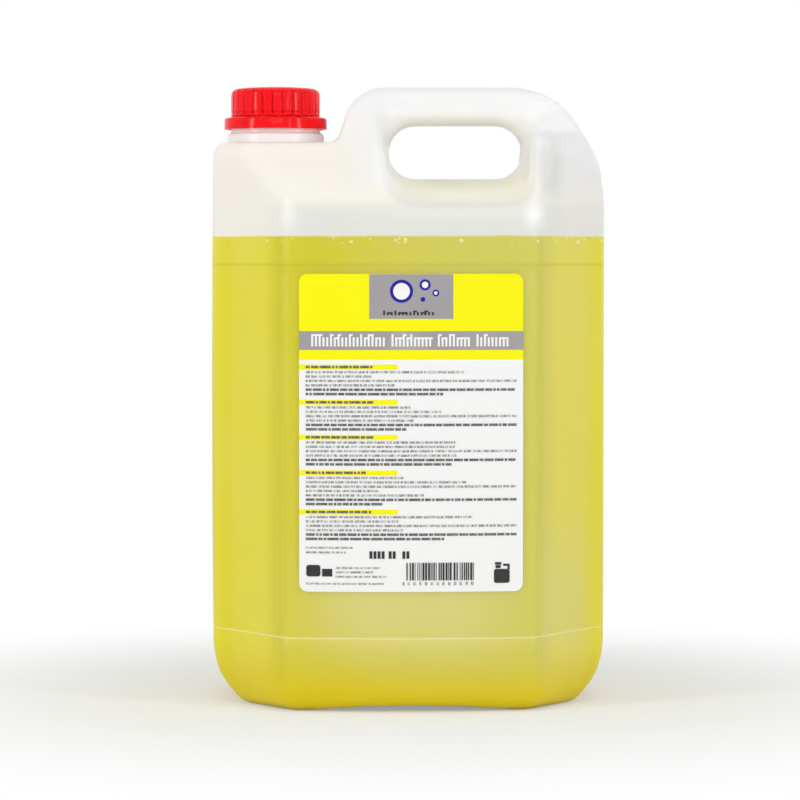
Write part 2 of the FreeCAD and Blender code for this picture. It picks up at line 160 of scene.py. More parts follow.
class Wire:
    """A shader socket that can be used in a Python expression."""

    def __init__(self, finish, socket):
        self.finish = finish
        self.socket = socket

    def math(self, operation, *values):
        return self.finish.node("ShaderNodeMath", {"operation": operation}, values)

    def __add__(self, other):
        return self.math("ADD", self, other)

    def __sub__(self, other):
        return self.math("SUBTRACT", self, other)

    def __rsub__(self, other):
        return self.math("SUBTRACT", other, self)

    def __mul__(self, other):
        return self.math("MULTIPLY", self, other)

    __radd__ = __add__
    __rmul__ = __mul__

    def size(self):
        """The value without its sign."""
        return self.math("ABSOLUTE", self)

    def step(self, start, end):
        """0 before start and 1 past end, with a soft change between them."""
        settings = {"interpolation_type": "SMOOTHSTEP"}
        values = {"Value": self, "From Min": start, "From Max": end}
        return self.finish.node("ShaderNodeMapRange", settings, values)


class Finish:
    """A material with one principled surface, made of nodes."""

    def __init__(self, name, constants):
        self.material = bpy.data.materials.new(name)
        self.material.use_nodes = True
        self.tree = self.material.node_tree
        self.surface = self.tree.nodes["Principled BSDF"]
        self.skin = Wire(self, self.surface.outputs["BSDF"])
        for key, value in constants.items():
            self.surface.inputs[key].default_value = value
        self.place = self.node("ShaderNodeTexCoord", {}, {}, out="Object")
        self.x, self.y, self.z = [
            self.node("ShaderNodeSeparateXYZ", {}, [self.place], out=axis) for axis in "XYZ"
        ]

    def node(self, kind, settings, values, out=0):
        """Any node: its settings first, then the values or links of its sockets."""
        made = self.tree.nodes.new(kind)
        for key, value in settings.items():
            setattr(made, key, value)
        pairs = values.items() if isinstance(values, dict) else enumerate(values)
        for key, value in pairs:
            self.feed(made.inputs[key], value)
        return Wire(self, made.outputs[out])

    def feed(self, socket, value):
        """Links a wire to a socket, or sets the socket to a number, vector or colour."""
        if isinstance(value, Wire):
            self.tree.links.new(value.socket, socket)
        elif isinstance(value, (int, float)):
            socket.default_value = value
        else:
            given = tuple(value)
            socket.default_value = given if socket.type == "VECTOR" else (*given, 1)[:4]

    def mix(self, factor, first, second):
        """Two colours mixed."""
        settings = {"data_type": "RGBA", "blend_type": "MIX", "clamp_factor": True}
        return self.node("ShaderNodeMix", settings, {0: factor, 6: first, 7: second}, out=2)

    def noise(self, scale, detail=2.0, stretch=(1, 1, 1)):
        """Cloudy variation, its scale in patches to the metre."""
        spot = self.node("ShaderNodeMapping", {}, {"Vector": self.place, "Scale": stretch})
        values = {"Vector": spot, "Scale": scale, "Detail": detail}
        return self.node("ShaderNodeTexNoise", {}, values)

    def bump(self, height, distance, under=None):
        """Fine relief, its height from 0 to 1 over the distance in metres."""
        values = {"Height": height, "Distance": distance}
        if under:
            values["Normal"] = under
        return self.node("ShaderNodeBump", {}, values)

    def length(self, vector):
        """How long a vector is."""
        settings = {"operation": "LENGTH"}
        return self.node("ShaderNodeVectorMath", settings, [vector], out="Value")

    def paint(self, wires):
        """The material, with what varies over it linked to its surface."""
        for key, value in wires.items():
            self.feed(self.surface.inputs[key], value)
        return self.material


def near(value, middle, inner, outer):
    """1 within inner of the middle, and 0 past outer."""
    return 1 - (value - middle).size().step(inner, outer)


def smooth_share(value, start, end):
    """0 before start, 1 past end and an S between them."""
    t = min(max((value - start) / (end - start), 0), 1)
    return t * t * (3 - 2 * t)


def soap_seen(f, colours):
    """Colour of the wall with soap behind it."""
    across = f.x.size()
    left = 1 - f.x.step(-0.06, 0.02)
    paint = f.mix(left * 0.88, colours.soap, SHADED_SOAP)
    paint = f.mix(near(across, CORNER_X, 0.006, 0.014) * 0.85, paint, colours.soap_corner)
    # painted light: the soap is paler on the right corner, where the light falls
    paint = f.mix(near(f.x, 0.074, 0.008, 0.018) * 0.25, paint, colours.pale_and_lit_soap)
    # painted shade: a dark line where the front turns into a cut corner
    paint = f.mix(near(across, FRONT_EDGE_X, 0.001, 0.003) * 0.2, paint, EDGE_SHADE_SOAP)
    # paler low on the front, and painted light low on the right corner
    front = 1 - across.step(0.016, 0.070)
    pale_and_lit = front.math("MAXIMUM", front, near(f.x, 0.072, 0.006, 0.016) * 0.6)
    paint = f.mix(near(f.z, CLOUD_Z, 0, 0.050) * pale_and_lit, paint, colours.pale_and_lit_soap)
    sides = across.step(0.080, 0.092)
    paint = f.mix(sides * 0.8, paint, colours.soap_bright)
    # painted shadow along the upper line round the wall, under its downward-facing edge
    paint = f.mix(near(f.z, CREASE_Z, 0.2 * MM, 1.0 * MM) * 0.3, paint, CREASE_SHADOW_SOAP)
    paint = f.mix((f.noise(24, 3) - 0.42) * 0.5, paint, colours.pale_and_lit_soap)
    base = 1 - f.z.step(0.002, 0.034)
    paint = f.mix(base, paint, colours.soap_deep)
    # painted highlight along the lower line round the wall, on its upward-facing edge
    line = f.z - (FOOT_LINE_Z + FOOT_LINE_RISE * across.step(0.050, 0.086))
    return f.mix(near(line, 0, 0.1 * MM, 0.6 * MM) * 0.4, paint, FOOT_LINE_LIGHT_SOAP)


def milky_seen(f, colours):
    """Colour of the empty wall: cold on the handle, cream on the shoulder, painted shade over the
    soap.
    """
    handle = f.x.step(-0.036, -0.014) * f.z.step(0.236, 0.262)
    handle = handle.math("MAXIMUM", handle, f.z.step(0.262, 0.286))
    paint = f.mix(handle, colours.cream, colours.cold)
    off = f.y.size()
    column = f.x.step(0.060, 0.064) * (1 - f.z.step(0.2718, 0.2746)) * off.step(0.020, 0.032)
    paint = f.mix(column * 0.35, paint, COLUMN_SHADE)
    roof = near(f.x, 0.068, 0.008, 0.016) * near(f.z, 0.281, 0.006, 0.009) * off.step(0.010, 0.020)
    paint = f.mix(roof * 0.9, paint, ROOF_LIGHT)
    leg = near(f.x, 0.0655, 0.001, 0.010) * off.step(0.030, 0.040) * near(f.z, 0.256, 0.004, 0.022)
    paint = f.mix(leg * 0.85, paint, LEG_SHADE)
    ridge = near(f.x, -0.010, 0.002, 0.009) * near(f.z, 0.268, 0.012, 0.026)
    ridge = ridge * off.step(0.020, 0.030)
    grip = near(f.x, 0.022, 0.028, 0.040) * near(f.z, 0.279, 0.003, 0.009)
    paint = f.mix(ridge.math("MAXIMUM", ridge, grip) * 0.9, paint, RIDGE_LIGHT)
    under = near(f.x, 0.026, 0.020, 0.042) * near(f.z, 0.242, 0.008, 0.016)
    under = under * (1 - off.step(0.048, 0.060))
    paint = f.mix(under * 0.75, paint, colours.glow)
    lip = near(f.x, 0.060, 0.002, 0.007) * near(f.z, 0.257, 0.005, 0.016)
    lip = lip * (1 - off.step(0.030, 0.050))
    paint = f.mix(lip * 0.6, paint, LIP_SHADE)
    # painted shade: the upright wall just above the soap is greyer, less so on the right
    upright_shade = (1 - f.z.step(SOAP_LEVEL + 0.012, SOAP_LEVEL + 0.020)) * f.x.step(-0.075, -0.050)
    paint = f.mix(upright_shade * (0.9 - 0.35 * f.x.step(0.060, 0.076)), paint, colours.shade_and_mottle)
    glint = near(f.x, LEG_X, 0, 0.008) + 0.5 * near(f.x, FOLD_X, 0, 0.007)
    glint = glint * near(f.z, 0.2335, 0, 0.009) * off.step(0.045, 0.055)
    paint = f.mix(glint * 0.8, paint, GLINT_LIGHT)
    return f.mix((f.noise(45, 2, (1, 1, 0.2)) - 0.45) * 0.5, paint, colours.shade_and_mottle)


def wall_finish(colours):
    """Blown plastic: milky where empty, and tinted by the soap below its level."""
    f = Finish("blown_wall", {
        "Specular IOR Level": 0.3, "Subsurface Weight": 0.7, "Subsurface Scale": 9 * MM,
        "Subsurface Radius": (1.0, 0.95, 0.85),
    })
    wobble = (f.noise(60, 1) - 0.5) * (0.8 * MM)
    above = (f.z + wobble).step(SOAP_LEVEL, SOAP_LEVEL + 1.2 * MM)
    paint = f.mix(above, soap_seen(f, colours), milky_seen(f, colours))
    cells = f.node("ShaderNodeTexVoronoi", {}, {"Vector": f.place, "Scale": 340.0})
    bubbles = (1 - cells.step(0.2, 0.38)) * near(f.z, SOAP_LEVEL - 1.4 * MM, 0.7 * MM, 2.0 * MM)
    paint = f.mix(bubbles * f.noise(55, 1).step(0.44, 0.54) * 0.7, paint, BUBBLE_SOAP)
    ring = f.node("ShaderNodeCombineXYZ", {}, (f.x - MOULD_MARK_X, 0.0, f.z - MOULD_MARK_Z))
    mark = near(f.length(ring), MOULD_MARK_R, 0.1 * MM, 0.55 * MM) * (1 - f.y.step(-0.04, -0.02))
    mark = mark * (0.25 + 0.75 * f.z.step(MOULD_MARK_Z - 2 * MM, MOULD_MARK_Z + 4 * MM))
    paint = f.mix(mark * 0.25, paint, MARK_SOAP)
    seam = near(f.y, 0, 0.12 * MM, 0.5 * MM)
    ripple = f.bump(f.noise(38, 1), 0.3 * MM)
    raised = f.bump(seam + 0.5 * mark, 0.2 * MM, ripple)
    normal = f.bump(f.noise(1400, 2), 0.01 * MM, raised)
    roughness = 0.27 + 0.1 * f.noise(70, 3)
    return f.paint({"Base Color": paint, "Roughness": roughness, "Normal": normal})


def neck_finish(colours):
    """The same plastic, moulded thicker, brightened by painted light through it, with a painted
    highlight towards the handle.
    """
    f = Finish("moulded_neck", {
        "Specular IOR Level": 0.5, "Subsurface Weight": 0.25, "Subsurface Scale": 3 * MM,
        "Subsurface Radius": (1.0, 0.95, 0.85),
    })
    cloud = f.noise(90, 2)
    paint = f.mix(cloud * 0.5, colours.clean, colours.cold)
    # painted highlight on the neck's side towards the handle
    paint = f.mix(f.x.step(AXIS_X, AXIS_X + 16 * MM) * 0.9, paint, (1.0, 0.99, 0.97))
    normal = f.bump(f.noise(1800, 2), 0.01 * MM)
    return f.paint({"Base Color": paint, "Roughness": 0.28 + 0.08 * cloud, "Normal": normal})


def red_finish(colours):
    """Red moulded plastic, a little worn on its faces, with painted shade in the cap's grooves."""
    f = Finish("moulded_red", {"Specular IOR Level": 0.14})
    cloud = f.noise(120, 3)
    paint = f.mix(cloud * 0.5, colours.red, (0.86, 0.003, 0.008))
    scuff = f.noise(700, 2, (1, 1, 0.3)).step(0.62, 0.74)
    paint = f.mix(scuff * 0.08, paint, (0.9, 0.3, 0.3))
    radius = f.length(f.node("ShaderNodeCombineXYZ", {}, (f.x - AXIS_X, f.y, 0.0)))
    # painted shade in the grooves between the cap's ribs
    groove = 1 - radius.step(CAP_R - 0.8 * MM, CAP_R - 0.2 * MM)
    groove = groove * (1 - f.z.step(CAP_HIGH.z - 4.8 * MM, CAP_HIGH.z - 3.2 * MM))
    paint = f.mix(groove * 0.5, paint, GROOVE_SHADE_RED)
    normal = f.bump(f.noise(2200, 2), 0.008 * MM)
    roughness = 0.1 + 0.05 * cloud + 0.04 * scuff
    return f.paint({"Base Color": paint, "Roughness": roughness, "Normal": normal})


def liner_finish():
    """White foam disc."""
    f = Finish("foam_liner", {"Specular IOR Level": 0.2})
    cells = f.node("ShaderNodeTexVoronoi", {}, {"Vector": f.place, "Scale": 1600.0})
    paint = f.mix(f.noise(400, 2), (0.86, 0.86, 0.84), (0.74, 0.74, 0.72))
    normal = f.bump(cells, 0.1 * MM)
    return f.paint({"Base Color": paint, "Roughness": 0.7 + 0.2 * cells, "Normal": normal})


def soap_finish(colours):
    """The filling, yellow with fine bubbles that gather at its surface."""
    f = Finish("soap", {"Specular IOR Level": 0.5})
    cells = f.node("ShaderNodeTexVoronoi", {}, {"Vector": f.place, "Scale": 420.0})
    top = f.z.step(SOAP_LEVEL - 6 * MM, SOAP_LEVEL)
    bubbles = (1 - cells.step(0.12, 0.22)) * top
    body = f.mix(f.noise(12, 2), colours.soap_bright, colours.soap)
    paint = f.mix(bubbles * 0.6, body, (0.93, 0.91, 0.62))
    normal = f.bump(bubbles, 0.2 * MM)
    return f.paint({"Base Color": paint, "Roughness": 0.08 + 0.15 * bubbles, "Normal": normal})


def film_finish(name, base, other, roughness):
    """Printed film: even colour with a faint mottle, on a surface that ripples slightly."""
    f = Finish(name, {"Specular IOR Level": 0.15})
    mottle = f.noise(900, 2)
    ripple = f.bump(f.noise(22, 1), 0.12 * MM)
    return f.paint({
        "Base Color": f.mix(mottle * 0.5, base, other),
        "Roughness": roughness + 0.08 * f.noise(60, 2),
        "Normal": f.bump(mottle, 0.006 * MM, ripple),
    })


def silver_finish(colours):
    """Silver ink, fine-grained and a little metallic."""
    f = Finish("silver_ink", {"Specular IOR Level": 0.5})
    grain = f.noise(2600, 2)
    sweep = f.noise(26, 1)
    paint = f.mix(grain * 0.6, colours.silver, (0.30, 0.285, 0.28))
    paint = f.mix(sweep.step(0.5, 0.75) * 0.5, paint, (0.52, 0.50, 0.48))
    return f.paint({
        "Base Color": paint,
        "Metallic": 0.25 + 0.2 * grain,
        "Roughness": 0.42 + 0.1 * grain,
        "Normal": f.bump(grain, 0.01 * MM),
    })


def ink_finish(name, colours, cover):
    """Small print: strokes of ink with film showing between them."""
    f = Finish(name, {"Specular IOR Level": 0.4})
    strokes = f.noise(1500, 1, (1, 1, 0.35)).step(0.42, 0.56)
    tone = cover + (1 - cover) * strokes * 0.6
    paint = f.mix(tone, colours.film, colours.ink)
    return f.paint({"Base Color": paint, "Roughness": 0.38 + 0.08 * f.noise(60, 2)})


def add_piece(name, work, material, body, slot, *stands_for):
    """A finished piece from a bmesh, on its body. Its slot is not used."""
    mesh = bpy.data.meshes.new(name)
    work.to_mesh(mesh)
    work.free()
    piece = bpy.data.objects.new(name, mesh)
    bpy.context.collection.objects.link(piece)
    mesh.materials.append(material)
    mesh.shade_smooth()
    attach(piece, body)
    if stands_for:
        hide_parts(*stands_for)
    return piece


def round_edges(piece, width, segments=3):
    """A live bevel on a piece's sharp edges."""
    bevel = piece.modifiers.new("Edges", "BEVEL")
    bevel.width = width
    bevel.segments = segments
    bevel.limit_method = "ANGLE"
    bevel.angle_limit = radians(30)
    bevel.harden_normals = True


def apply_modifiers(piece):
    """Replaces a piece's mesh by what its modifiers make of it."""
    graph = bpy.context.evaluated_depsgraph_get()
    made = bpy.data.meshes.new_from_object(piece.evaluated_get(graph))
    made.name = piece.name
    piece.modifiers.clear()
    piece.data = made


def inset(piece, distance):
    """Thins out a copy of the skin, and moves its faces along their normals."""
    thin = piece.modifiers.new("Fewer faces", "DECIMATE")
    thin.ratio = 0.2
    shift = piece.modifiers.new("Inset", "DISPLACE")
    shift.mid_level = 0
    shift.strength = distance
    apply_modifiers(piece)


def join(work, other):
    """Adds another bmesh's mesh to this one."""
    bmesh.ops.recalc_face_normals(other, faces=other.faces)
    mesh = bpy.data.meshes.new("joined")
    other.to_mesh(mesh)
    other.free()
    work.from_mesh(mesh)
    bpy.data.meshes.remove(mesh)


def on_neck(work):
    """Moves what was turned about the origin to the neck's axis, at the shoulder's height."""
    bmesh.ops.translate(work, verts=work.verts, vec=(AXIS_X, 0, SHOULDER_Z))


def turned(work, profile, steps, closed=True):
    """Spins (radius, height) corners in millimetres into a ring or a dome."""
    verts = [work.verts.new((r * MM, 0, z * MM)) for r, z in profile]
    edges = [work.edges.new(pair) for pair in zip(verts, verts[1:])]
    if closed:
        edges.append(work.edges.new((verts[-1], verts[0])))
    bmesh.ops.spin(
        work, geom=verts + edges, cent=(0, 0, 0), axis=(0, 0, 1), angle=2 * pi, steps=steps,
        use_merge=True,
    )
    bmesh.ops.remove_doubles(work, verts=work.verts, dist=1e-6)
    bmesh.ops.recalc_face_normals(work, faces=work.faces)


def thread(work, root, crest, low, pitch, turns, width):
    """A screw ridge from its root radius to its crest, and how far it rises."""
    steps = int(48 * turns)
    base, tip = width, width * 0.45
    profile = [(root, -base / 2), (crest, -tip / 2), (crest, tip / 2), (root, base / 2)]
    verts = [work.verts.new((r, 0, low + z)) for r, z in profile]
    edges = [work.edges.new((verts[i], verts[(i + 1) % 4])) for i in range(4)]
    rise = pitch * turns
    made = bmesh.ops.spin(
        work, geom=verts + edges, cent=(0, 0, 0), axis=(0, 0, 1), dvec=(0, 0, rise / steps),
        angle=2 * pi * turns, steps=steps,
    )
    ends = [edges, [e for e in made["geom_last"] if isinstance(e, bmesh.types.BMEdge)]]
    for loop in ends:
        bmesh.ops.edgeloop_fill(work, edges=loop)
    return rise


def fade_thread(verts, root, low, rise, turns):
    """Lowers a thread's crest to its root at both ends."""
    for v in verts:
        r = hypot(v.co.x, v.co.y)
        if abs(r - root) < 1e-7:
            continue
        along = min(max((v.co.z - low) / rise, 0), 1)
        share = min(1, min(along, 1 - along) * turns * 5)
        scale = (root + (r - root) * share) / r
        v.co.x *= scale
        v.co.y *= scale


def islands(work):
    """The groups of connected points in a bmesh."""
    left = set(work.verts)
    groups = []
    while left:
        group = {left.pop()}
        edge = list(group)
        while edge:
            around = {e.other_vert(v) for v in edge for e in v.link_edges} - group
            group |= around
            edge = list(around)
        left -= group
        groups.append(group)
    return groups


def outer_skin():
    """The outside of the blown wall, without the neck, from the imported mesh."""
    work = bmesh.new()
    work.from_mesh(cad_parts["jug_body"].data)
    bmesh.ops.remove_doubles(work, verts=work.verts, dist=1e-6)
    axis = Vector((AXIS_X, 0))
    neck = []
    for face in work.faces:
        middle = face.calc_center_median()
        if middle.z > SHOULDER_Z + 1 * MM and (middle.xy - axis).length < 27 * MM:
            neck.append(face)
    bmesh.ops.delete(work, geom=neck, context="FACES")
    outside = min(islands(work), key=lambda group: min(v.co.z for v in group))
    bmesh.ops.delete(work, geom=[v for v in work.verts if v not in outside], context="VERTS")
    bmesh.ops.holes_fill(work, edges=work.edges)
    return work


def push_out_back(work):
    """Fills out the handle's back curve, where the bar turns down into the back leg."""
    middle = Vector((0.045, 0.235))
    for v in work.verts:
        ray = v.co.xz - middle
        if v.co.z < 0.25 or ray.x < 0 or ray.length < 0.034:
            continue
        turn = ray.angle(Vector((1, 0))) * 180 / pi
        share = smooth_share(turn, 14, 30) * (1 - smooth_share(turn, 60, 80))
        share *= (1 + smooth_share(turn, 46, 60)) * smooth_share(ray.length, 0.034, 0.050)
        ray.normalize()
        v.co.x += ray.x * BACK_PUSH * share
        v.co.z += ray.y * BACK_PUSH * share


def settle_legs(work):
    """Lowers the back leg's faces, and moves its ridge and the front leg's rim inwards."""
    for v in work.verts:
        off = abs(v.co.y)
        face = smooth_share(v.co.x, 0.052, 0.078) * smooth_share(off, 0.018, 0.040)
        v.co.z -= LEG_DROP * face * smooth_share(v.co.z, 0.248, 0.276)
        ridge = smooth_share(v.co.x, 0.048, 0.064) * (1 - smooth_share(v.co.x, 0.066, 0.088))
        ridge *= smooth_share(off, 0.026, 0.044) * smooth_share(v.co.z, 0.236, 0.252)
        v.co.x -= RIDGE_SHIFT * ridge
        rim = smooth_share(v.co.x, -0.024, -0.015) * (1 - smooth_share(v.co.x, -0.009, -0.003))
        rim *= smooth_share(off, 0.024, 0.040) * smooth_share(v.co.z, 0.236, 0.250)
        v.co.x += RIM_SHIFT * rim * (1 - smooth_share(v.co.z, 0.260, 0.280))


def draw_in_base(work):
    """Narrows the bottle's two ends towards its base."""
    for v in work.verts:
        low = 1 - smooth_share(v.co.z, 0.004, 0.029)
        low *= 0.55 + 0.45 * smooth_share(v.co.z, 0, 0.006)
        reach = BASE_DRAW * low * smooth_share(abs(v.co.x), 0.062, 0.090)
        v.co.x -= reach if v.co.x > 0 else -reach


def round_shoulder(work):
    """Lets the shoulder beside the neck fall away towards the front and the back."""
    for v in work.verts:
        fall = smooth_share(abs(v.co.y), 0.026, 0.056) * (1 - smooth_share(v.co.x, -0.040, -0.020))
        v.co.z -= SHOULDER_FALL * fall * smooth_share(v.co.z, 0.252, 0.267)


def softness(co):
    """How strongly the blown skin rounds off here: most in the pocket, less on the back leg."""
    off = abs(co.y)
    pocket = smooth_share(co.x, -0.028, -0.018) * (1 - smooth_share(co.x, 0.060, 0.070))
    pocket *= smooth_share(co.z, 0.230, 0.240) * smooth_share(off, 0.003, 0.008)
    pocket *= 0.4 + 0.6 * max(smooth_share(co.x, -0.014, 0.004), smooth_share(co.z, 0.262, 0.276))
    pocket *= 1 - 0.8 * smooth_share(co.z, 0.287, 0.293)
    leg = smooth_share(co.x, 0.054, 0.062) * smooth_share(co.z, 0.250, 0.262)
    leg *= smooth_share(off, 0.012, 0.022)
    return max(pocket, 0.2 * leg)


def soften(work, rounds):
    """Smooths the skin, in more rounds where it is softer."""
    weights = [(v, softness(v.co)) for v in work.verts]
    for i in range(rounds):
        share = i / rounds
        chosen = [v for v, weight in weights if weight > share]
        bmesh.ops.smooth_vert(
            work, verts=chosen, factor=0.5, use_axis_x=True, use_axis_y=True, use_axis_z=True
        )


def open_mouth(work, radius):
    """Takes the skin away under the neck's bore."""
    axis = Vector((AXIS_X, 0))
    top = [v for v in work.verts if v.co.z > SHOULDER_Z - 4 * MM]
    under = [v for v in top if (v.co.xy - axis).length < radius]
    bmesh.ops.delete(work, geom=under, context="VERTS")


class SOAPJUG_OT_shell(bpy.types.Operator):
    """Blown wall of the jug, with its handle"""

    bl_idname = "soapjug.shell"
    bl_label = "Jug shell"

    def execute(self, context):
        sizes = context.scene.jug_sizes
        material = wall_finish(context.scene.jug_colours)
        shell = add_piece("jug_shell", outer_skin(), material, "jug", "bottle", "jug_body")
        remesh = shell.modifiers.new("Skin", "REMESH")
        remesh.mode = "VOXEL"
        remesh.voxel_size = sizes.skin_grain
        even = shell.modifiers.new("Even", "SMOOTH")
        even.factor = 0.5
        even.iterations = 4
        apply_modifiers(shell)
        work = bmesh.new()
        work.from_mesh(shell.data)
        push_out_back(work)
        settle_legs(work)
        draw_in_base(work)
        round_shoulder(work)
        soften(work, sizes.soft_rounds)
        open_mouth(work, sizes.bore_r + 1.5 * MM)
        work.to_mesh(shell.data)
        work.free()
        shell.data.shade_smooth()
        inside = bmesh.new()
        inside.from_mesh(shell.data)
        bmesh.ops.reverse_faces(inside, faces=inside.faces)
        lining = add_piece("jug_lining", inside, material, "jug", "bottle")
        inset(lining, sizes.wall)
        return {"FINISHED"}


class SOAPJUG_OT_neck(bpy.types.Operator):
    """Neck finish: base, step, snap bead, thread, rim and bore"""

    bl_idname = "soapjug.neck"
    bl_label = "Neck"

    def execute(self, context):
        sizes = context.scene.jug_sizes
        bore, neck = sizes.bore_r / MM, sizes.neck_r / MM
        rim = (RIM_Z - SHOULDER_Z) / MM
        work = bmesh.new()
        turned(work, [
            (bore + 2.3, -1.6), (neck + 6.6, -1.6), (neck + 5.6, 0.1), (neck + 5.3, 0.9),
            (neck + 5.3, 3.3), (neck + 5.15, 4.0), (neck + 4.75, 4.55), (neck + 4.2, 4.8),
            (neck + 3.65, 4.8), (neck + 3.65, 7.4), (neck + 2.7, 7.4), (neck + 2.7, 9.2),
            (neck + 4.4, 9.2), (neck + 4.4, 10.0), (neck, 11.6), (neck, rim), (bore, rim),
            (bore, 7.4), (bore + 2.3, 4.4),
        ], 96)
        root, low = sizes.neck_r - 0.1 * MM, 14.8 * MM
        crest, turns = sizes.neck_r + sizes.thread_depth, 1.5
        ridge = bmesh.new()
        rise = thread(ridge, root, crest, low, sizes.thread_pitch, turns, 2.2 * MM)
        fade_thread(ridge.verts, root, low, rise, turns)
        join(work, ridge)
        on_neck(work)
        finish = neck_finish(context.scene.jug_colours)
        piece = add_piece("neck_finish", work, finish, "jug", "bottle")
        round_edges(piece, 0.35 * MM)
        return {"FINISHED"}


def cut_ribs(work, ribs, depth, low, high):
    """Sinks soft grooves between the ribs of the cap's skirt."""
    for v in work.verts:
        r = hypot(v.co.x, v.co.y)
        if r < CAP_R - 3.2 * MM or v.co.z < low:
            continue
        angle = (Vector((1, 0)).angle_signed(v.co.xy) if r else 0) * ribs / (2 * pi)
        off = abs(angle - round(angle)) * 2 * pi * CAP_R / ribs
        share = 1 - smooth_share(off, 0.12 * MM, 0.72 * MM)
        share *= smooth_share(v.co.z, low, low + 0.7 * MM)
        scale = (r - depth * share) / r
        v.co.x *= scale
        v.co.y *= scale


class SOAPJUG_OT_cap(bpy.types.Operator):
    """Screw cap with its ribs and inner thread"""

    bl_idname = "soapjug.cap"
    bl_label = "Screw cap"

    def execute(self, context):
        sizes = context.scene.jug_sizes
        r = CAP_R / MM
        inner = r - 1.95
        low = (CAP_LOW.z - SHOULDER_Z) / MM
        top = (CAP_HIGH.z - SHOULDER_Z) / MM
        ceiling = (LINER_HIGH.z - SHOULDER_Z) / MM + 0.1
        work = bmesh.new()
        turned(work, [
            (0, top), (r * 0.3, top - 0.12), (r * 0.55, top - 0.42), (r - 4.2, top - 0.9),
            (r - 2.6, top - 1.15), (r - 1.5, top - 1.55), (r - 0.75, top - 2.2),
            (r - 0.25, top - 3.1), (r, top - 4.2), (r, top - 6), (r, top - 8), (r, top - 10),
            (r, low + 2.9), (r, low + 2.25), (r - 0.22, low + 2.05), (r - 0.22, low + 1.85),
            (r, low + 1.65), (r, low + 1.1), (r, low + 0.3), (r - 0.3, low), (inner + 0.35, low),
            (inner, low + 0.35), (inner, ceiling - 0.5), (inner - 0.5, ceiling), (0, ceiling),
        ], sizes.cap_ribs * 14, closed=False)
        cut_ribs(work, sizes.cap_ribs, sizes.rib_groove, (low + 0.5) * MM, top * MM)
        root, start, turns = (inner + 0.1) * MM, 16.8 * MM, 1.2
        ridge = bmesh.new()
        crest = inner * MM - sizes.thread_depth
        rise = thread(ridge, root, crest, start, sizes.thread_pitch, turns, 2.0 * MM)
        fade_thread(ridge.verts, root, start, rise, turns)
        join(work, ridge)
        on_neck(work)
        finish = red_finish(context.scene.jug_colours)
        add_piece("ribbed_cap", work, finish, "cap", "cap_red", "screw_cap")
        return {"FINISHED"}


class SOAPJUG_OT_liner(bpy.types.Operator):
    """Foam disc that seals the rim, with the rim's mark pressed into it"""

    bl_idname = "soapjug.liner"
    bl_label = "Cap liner"

    def execute(self, context):
        low = (LINER_LOW.z - SHOULDER_Z) / MM
        high = (LINER_HIGH.z - SHOULDER_Z) / MM
        r = LINER_R / MM
        work = bmesh.new()
        turned(work, [
            (0, high), (r - 0.3, high), (r, high - 0.3), (r, low + 0.35), (r - 0.3, low + 0.05),
            (17.9, low + 0.05), (17.6, low + 0.18), (16.4, low + 0.18), (16.1, low + 0.05),
            (0, low + 0.02),
        ], 96, closed=False)
        on_neck(work)
        piece = add_piece("foam_disc", work, liner_finish(), "liner", "liner", "cap_liner")
        round_edges(piece, 0.08 * MM, segments=2)
        return {"FINISHED"}


class SOAPJUG_OT_ring(bpy.types.Operator):
    """Tamper ring with its snapped bridges"""

    bl_idname = "soapjug.ring"
    bl_label = "Tamper ring"

    def execute(self, context):
        r = RING_R / MM
        low = (RING_LOW.z - SHOULDER_Z) / MM
        high = low + 5.6
        work = bmesh.new()
        turned(work, [
            (r - 1.5, low), (r, low), (r, high - 1.2), (r - 0.25, high - 0.45), (r - 0.9, high),
            (19.55, high), (19.55, high - 1.1), (r - 1.5, high - 1.1), (r - 1.5, low + 2.2),
            (21.0, low + 2.0), (21.0, low + 1.0), (r - 1.5, low + 1.0),
        ], 120)
        for i in range(8):
            turn = Matrix.Rotation(i * pi / 4, 4, "Z")
            place = Matrix.Translation((20.5 * MM, 0, (high + 0.05) * MM))
            size = Matrix.Diagonal((1.0 * MM, 1.0 * MM, 0.3 * MM, 1))
            made = bmesh.ops.create_cube(work, size=1, matrix=turn @ place @ size)
            tops = [v for v in made["verts"] if v.co.z > high * MM]
            bmesh.ops.scale(work, vec=(0.97, 0.97, 1), verts=tops)
        on_neck(work)
        finish = red_finish(context.scene.jug_colours)
        piece = add_piece("tamper_band", work, finish, "jug", "cap_red", "tamper_ring")
        round_edges(piece, 0.2 * MM)
        return {"FINISHED"}


class SOAPJUG_OT_soap(bpy.types.Operator):
    """Filling of the jug, up to its level"""

    bl_idname = "soapjug.soap"
    bl_label = "Soap"

    def execute(self, context):
        wall = context.scene.jug_sizes.wall
        gap = 0.3 * MM
        work = bmesh.new()
        work.from_mesh(bpy.data.objects["jug_shell"].data)
        finish = soap_finish(context.scene.jug_colours)
        soap = add_piece("soap_filling", work, finish, "jug", "soap", "dish_soap")
        inset(soap, -wall - gap)
        work = bmesh.new()
        work.from_mesh(soap.data)
        bmesh.ops.bisect_plane(
            work, geom=work.verts[:] + work.edges[:] + work.faces[:], plane_co=(0, 0, SOAP_LEVEL),
            plane_no=(0, 0, 1), clear_outer=True,
        )
        bmesh.ops.holes_fill(work, edges=work.edges)
        work.to_mesh(soap.data)
        work.free()
        return {"FINISHED"}


def label_face(x):
    """How deep the label's outer face lies at a place along it: an arc that runs out straight."""
    half = LABEL_HIGH.x
    sag = LABEL_HIGH.y - LABEL_LOW.y - FILM_THICKNESS
    radius = (LABEL_FLAT_X * half - LABEL_FLAT_X ** 2 / 2) / sag
    inside = min(abs(x), LABEL_FLAT_X)
    return LABEL_LOW.y + (inside ** 2 / 2 + LABEL_FLAT_X * (abs(x) - inside)) / radius


